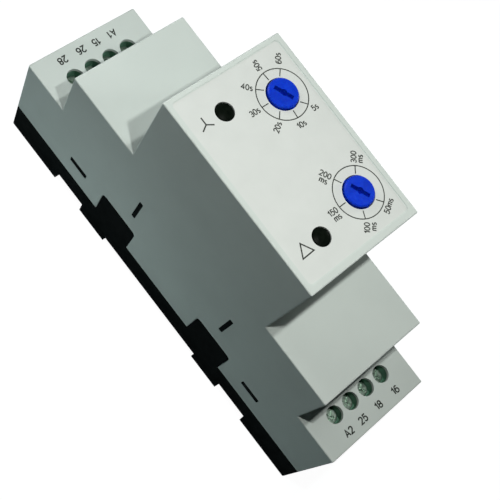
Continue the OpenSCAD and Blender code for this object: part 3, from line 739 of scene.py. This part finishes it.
# %% Print the dial of seconds
SECONDS_Y = 11.65 * MM
SECONDS_TICKS = (
    (54, 57.5), (96.2, 97), (139, 137), (179.8, 180.3), (222.8, 221), (264.5, 265), (306.8, 304.5))
SECONDS_TIMES = [
    ("60s", 11.3, 18.05, 56), ("50s", 6.35, 19.05, 88), ("40s", 1.55, 16.55, -44), ("30s", -0.48, 11.67, 0),
    ("20s", 1.5, 6.85, 32), ("10s", 6.2, 4.7, 0), ("5s", 11.05, 6.05, 2)]
print_dial("dial_scale_seconds", (DIAL_X, SECONDS_Y), SECONDS_TICKS, SECONDS_TIMES)

# %% Print the dial of milliseconds
MILLISECONDS_Y = -12.35 * MM
MILLISECONDS_TICKS = ((55.5, 57.5), (118.8, 117.8), (181, 181.3), (242.8, 242), (305.4, 303.7))
MILLISECONDS_TIMES = [
    ("300", 11.05, -6.25, 49), ("ms", 12.1, -7.4, 49), ("200", 3.45, -5.85, -60), ("ms", 2.15, -6.6, -60),
    ("150", -0.38, -12.45, 0), ("ms", -0.25, -13.95, 0), ("100", 3.5, -18.8, 50), ("ms", 5.0, -19.45, 49),
    ("50ms", 10.5, -18.0, 31)]
print_dial("dial_scale_milliseconds", (DIAL_X, MILLISECONDS_Y), MILLISECONDS_TICKS, MILLISECONDS_TIMES)

# %% [markdown]
# ## The star and delta signs
#
# Each lamp belongs to one way of connecting a motor, star or delta. The sign beside it is the winding diagram
# itself: three arms from a point, or one closed line in a triangle. Both are strokes of one slightly wider
# pen.

# %% Print the signs
SIGN_LINE = 0.27 * MM
STAR_MIDDLE = Vector((-10.5, 14.65)) * MM
STAR_ARM = 1.65 * MM
STAR_ANGLES = (90, 210, 330)
DELTA_CORNERS = [Vector(c) * MM for c in ((-10.15, -13.45), (-11.62, -16.08), (-8.65, -15.98))]

star = start_print(LABEL_TOP)
for angle in STAR_ANGLES:
    star.stroke([STAR_MIDDLE, around(STAR_MIDDLE, STAR_ARM, angle)], SIGN_LINE)
finish_print("star_sign", star)

delta = start_print(LABEL_TOP)
delta.stroke(DELTA_CORNERS, SIGN_LINE, closed=True)
finish_print("delta_sign", delta)

# %% [markdown]
# ## Terminal numbers
#
# The numbers stand on each terminal step between the wells and the outer edge. They read from the outside, so
# the upper row is turned half round. They are set from the same alphabet as the times, only larger and with
# a broader pen, as one print shop would do.

# %% Print the terminal numbers
TERMINAL_STEP = 30.3 * MM
NUMBER_HEIGHT = 1.56 * MM
NUMBER_PEN = 0.32 * MM
ROWS = (
    # name, y in mm, direction in degrees, (number, x in mm)
    ("terminal_numbers_upper", 52.2, 180, (("28", -7.65), ("26", -2.47), ("15", 1.85), ("A1", 6.45))),
    ("terminal_numbers_lower", -52.3, 0, (("A2", -7.4), ("25", -2.8), ("18", 2.37), ("16", 8.05))),
)
for name, y, direction, numbers in ROWS:
    row = start_print(TERMINAL_STEP)
    for text, x in numbers:
        write_word(row, text, Vector((x, y)) * MM, direction, NUMBER_HEIGHT, NUMBER_PEN)
    finish_print(name, row)

# %% [markdown]
# ## The bead round the label
#
# The label lies in a shallow recess. A gap between two solids always renders as a sharp black line, while on
# the real device the joint stays pale. A wider label could close it, but then two solids would share their
# space. One closed bead in the plastic of the cover fills the gap instead. It is the same stroke as the
# print, only deeper.

# %% Fill the gap round the label
BEAD_WIDTH = 0.3 * MM
BEAD_DEPTH = 0.25 * MM
BEAD_RISE = 0.015 * MM
BEAD_CORNER = 0.96 * MM
BEAD_CORNER_STEPS = 8
HALF_GAP = 0.06 * MM


def round_cornered(middle, size, corner, steps):
    """Outline of a rectangle with round corners, as a closed ring of flat points."""
    reach = [s / 2 - corner for s in size]
    quarters = ((1, 1, 0), (-1, 1, 90), (-1, -1, 180), (1, -1, 270))
    return [q for along, across, turn in quarters for q in arc(
        middle[0] + along * reach[0], middle[1] + across * reach[1], corner, corner, turn, turn + 90, steps)]


label_low, label_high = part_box("front_label")
label_middle = (label_low + label_high) / 2
label_size = [label_high[k] - label_low[k] + 2 * HALF_GAP for k in (0, 1)]
bead = Strokes(LABEL_TOP - BEAD_DEPTH, LABEL_TOP + BEAD_RISE)
bead_path = round_cornered(label_middle, label_size, BEAD_CORNER, BEAD_CORNER_STEPS)
bead.stroke(bead_path, BEAD_WIDTH, closed=True)
make_piece("label_bead", bead.points, bead.faces, finishes["cover_plastic"])

# %% [markdown]
# ## The closed side slots
#
# The cover has two lengthwise and two upright slots in each long side, and each shows as a solid black bar.
# In the CAD model the catches of the base end a little behind the face and the upright slots stay open, so
# light would show their depth. Each slot gets a thin black plate that laps over its rim. Its black is painted
# shade that stands for the dark inside of the slot; in the lengthwise slots it is partly real, the black
# catch of the base behind it. A plain plate would look stuck on, so the plates have round corners and a
# broken edge.

# %% Measure the plates of painted shade
SIDE_X = cad_high.x
PLATE_SINK = 0.02 * MM
PLATE_RISE = 0.05 * MM
PLATE_EDGE = 0.05 * MM
PLATE_CORNER = 0.28 * MM
PLATE_CORNER_STEPS = 5
CATCH_SHADE_PLATE = (5.85 * MM, 1.75 * MM)
CATCH_PLACES = ((32.7, 16.75), (-32.7, 16.75))
UPRIGHT_SHADE_PLATE = (1.15 * MM, 8.4 * MM)
UPRIGHT_SLOT_PLACES = ((14.8, 29.3), (-17.3, 29.3))
print("heads on each side:", len(CATCH_PLACES) + len(UPRIGHT_SLOT_PLACES))

# %% Close the slots
def shade_plate_layers(middle, size):
    """The three outlines of a shade plate, from its foot to its top, each with its height over the middle
    plane.
    """
    full = round_cornered(middle, size, PLATE_CORNER, PLATE_CORNER_STEPS)
    top_size = [s - 2 * PLATE_EDGE for s in size]
    top = round_cornered(middle, top_size, PLATE_CORNER - PLATE_EDGE, PLATE_CORNER_STEPS)
    return (full, SIDE_X - PLATE_SINK), (full, SIDE_X), (top, SIDE_X + PLATE_RISE)


def slot_shade_plates(name, places, size):
    """One closed black plate of painted shade for each slot, on the left side and, turned half round, on the
    right.
    """
    points, faces = [], []
    for side in (-1, 1):
        for y, z in places:
            layers = shade_plate_layers((-side * y * MM, z * MM), size)
            first, n = len(points), len(layers[0][0])
            for outline, x in layers:
                points += [(side * x, *q) for q in outline]
            for low in (first, first + n):
                faces += [[low + k, low + (k + 1) % n, low + n + (k + 1) % n, low + n + k][::side]
                          for k in range(n)]
            faces.append(list(range(first, first + n))[::-side])
            faces.append(list(range(first + 2 * n, first + 3 * n))[::side])
    make_piece(name, points, faces, finishes["base_plastic"])


# Close each slot with a black plate of painted shade. It is partly real in the lengthwise slots, where the
# black catches of the base lie behind.
slot_shade_plates("catch_shade_plates", CATCH_PLACES, CATCH_SHADE_PLATE)
slot_shade_plates("upright_slot_shade_plates", UPRIGHT_SLOT_PLACES, UPRIGHT_SHADE_PLATE)

# %% [markdown]
# ## The spring of the rail clip
#
# A coil spring in a window of the clip pulls it home. The CAD spring is rigid, so it would run into the clip
# when the clip is drawn out. This one is wound here with a round wire and a close turn at each end, as such
# springs are. A curve with a bevel could draw the wire too. Here each ring of points is worked out, which
# keeps the mesh light and closes both ends.

# %% Measure the spring
SPRING_TURNS = 7
SPRING_STEPS = 24
WIRE = 0.45 * MM
WIRE_SIDES = 10
SLOPE_REACH = 0.05

spring_low, spring_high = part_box("clip_spring")
spring_middle = (spring_low + spring_high) / 2
spring_length = spring_high.y - spring_low.y
coil = (spring_high.x - spring_low.x - WIRE) / 2
open_pitch = (spring_length - WIRE - 2 * WIRE) / (SPRING_TURNS - 2)
print("spring length", round(spring_length / MM, 2), "open pitch", round(open_pitch / MM, 2), "mm")

# %% Follow the wire
def advance(turns):
    """How far the wire has moved along the spring after so many turns, with one close turn at each end."""
    first = WIRE * min(turns, 1)
    open_part = open_pitch * min(max(turns - 1, 0), SPRING_TURNS - 2)
    last = WIRE * max(turns - SPRING_TURNS + 1, 0)
    return first + open_part + last


def wire_ring(turned):
    """Points round the wire after so many turns, square to its run."""
    angle = 2 * math.pi * turned
    out = Vector((math.cos(angle), 0, math.sin(angle)))
    before, after = max(turned - SLOPE_REACH, 0), min(turned + SLOPE_REACH, SPRING_TURNS)
    slope = (advance(after) - advance(before)) / (2 * SLOPE_REACH)
    round_speed = 2 * math.pi * coil
    ahead = Vector((-math.sin(angle) * round_speed, slope, math.cos(angle) * round_speed)).normalized()
    aside = out.cross(ahead)
    along = spring_low.y + WIRE / 2 + advance(turned)
    middle = Vector((spring_middle.x, along, spring_middle.z)) + out * coil
    turns = [2 * math.pi * k / WIRE_SIDES for k in range(WIRE_SIDES)]
    return [middle + WIRE / 2 * (math.cos(t) * out + math.sin(t) * aside) for t in turns]


print("coil radius", round(coil / MM, 2), "mm")

# %% Wind the spring
wire_steps = SPRING_TURNS * SPRING_STEPS
wire_points = [q for i in range(wire_steps + 1) for q in wire_ring(i / SPRING_STEPS)]
wire_faces = []
for i in range(wire_steps):
    for k in range(WIRE_SIDES):
        a, b = i * WIRE_SIDES + k, i * WIRE_SIDES + (k + 1) % WIRE_SIDES
        wire_faces.append([a, b, b + WIRE_SIDES, a + WIRE_SIDES])
wire_faces.append(list(range(WIRE_SIDES))[::-1])
wire_faces.append([wire_steps * WIRE_SIDES + k for k in range(WIRE_SIDES)])

spring = make_piece("wound_spring", wire_points, wire_faces, finishes["spring_steel"])
spring.data.shade_smooth()
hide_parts("clip_spring")
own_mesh(spring)

# %% [markdown]
# ## Close the scene
#
# The picture is read without any tone curve, so that each tone comes out as it was written.

# %% Tone curve
bpy.context.scene.view_settings.view_transform = "Standard"
